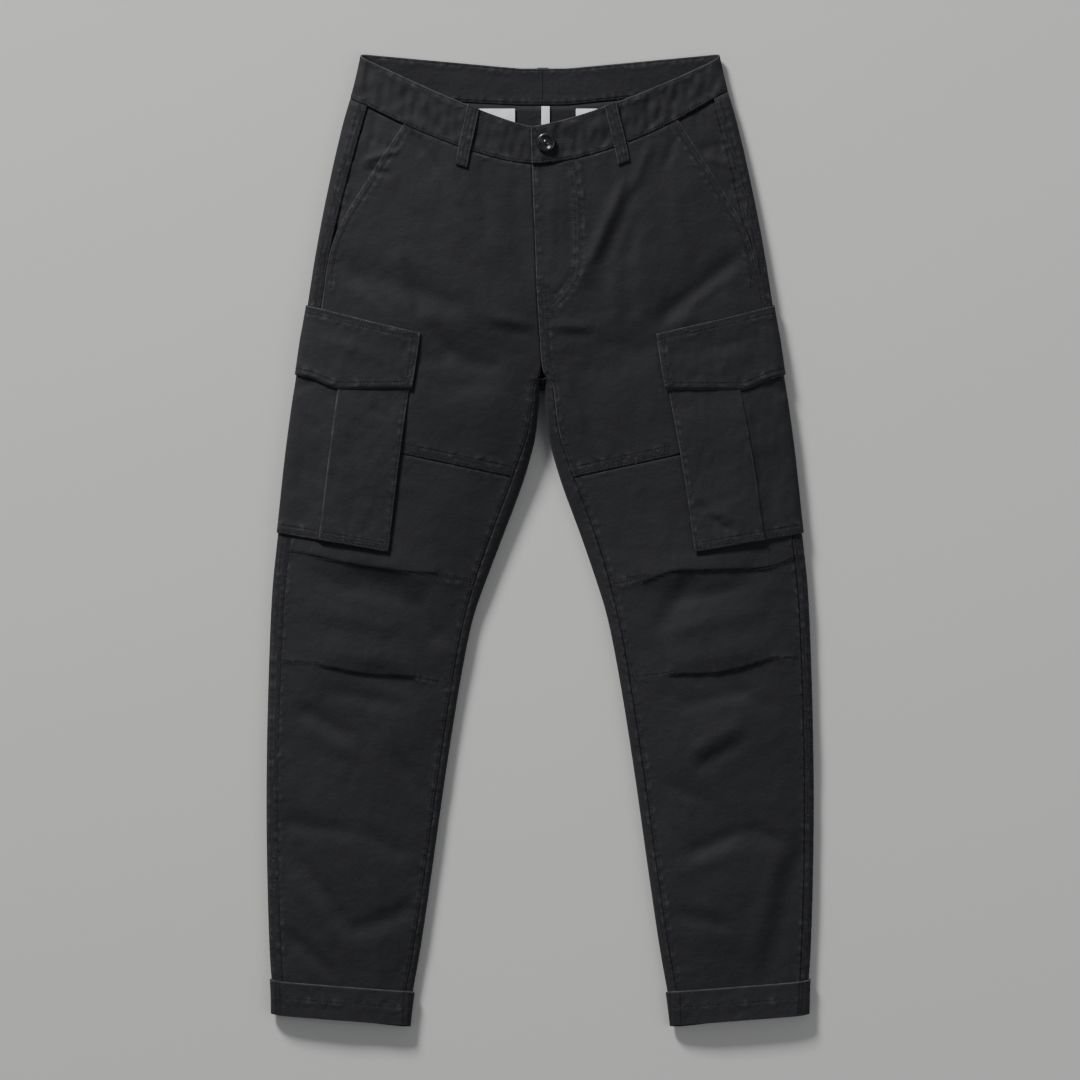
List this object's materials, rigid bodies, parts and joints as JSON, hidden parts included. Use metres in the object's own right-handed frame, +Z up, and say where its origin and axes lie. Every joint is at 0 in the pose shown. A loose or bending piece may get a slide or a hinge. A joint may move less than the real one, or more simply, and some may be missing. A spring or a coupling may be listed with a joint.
{
  "type": "cargo trousers",
  "caption": "Cotton twill cargo trousers with slanted hip pockets, flapped bellows pockets on the thighs and rolled hems, laid flat with the front up.",
  "frame": {"origin": "on the table, under the middle of the trousers' outer size", "axes": "+Y along the trousers from the hems to the waist, +Z up from the table through the front, +X to the viewer's right, which is the wearer's left"},
  "size_m": [0.5483, 0.9731, 0.0397],
  "materials": {
    "twill": "black cotton twill, piece dyed, matt with edges worn a little paler",
    "lining": "white pocketing cotton",
    "button": "near-black polyester resin with a polished rim"
  },
  "bodies": {
    "root": {"front_right": "twill", "front_left": "twill", "leg_front_right": "twill", "leg_front_left": "twill", "back_right": "twill", "back_left": "twill", "waistband_right": "twill", "waistband_left": "twill", "hip_pocket_facing_right": "twill", "hip_pocket_facing_left": "twill", "cargo_pocket_right": "twill", "cargo_pocket_left": "twill", "cargo_flap_right": "twill", "cargo_flap_left": "twill", "hem_right": "twill", "hem_left": "twill", "belt_loop_front_right": "twill", "belt_loop_front_left": "twill", "belt_loop_back": "twill", "belt_loop_back_right": "twill", "belt_loop_back_left": "twill", "fly_shield": "twill", "back_pocket_bag_right": "lining", "back_pocket_bag_left": "lining", "label": "lining", "button": "button"}
  },
  "joints": []
}
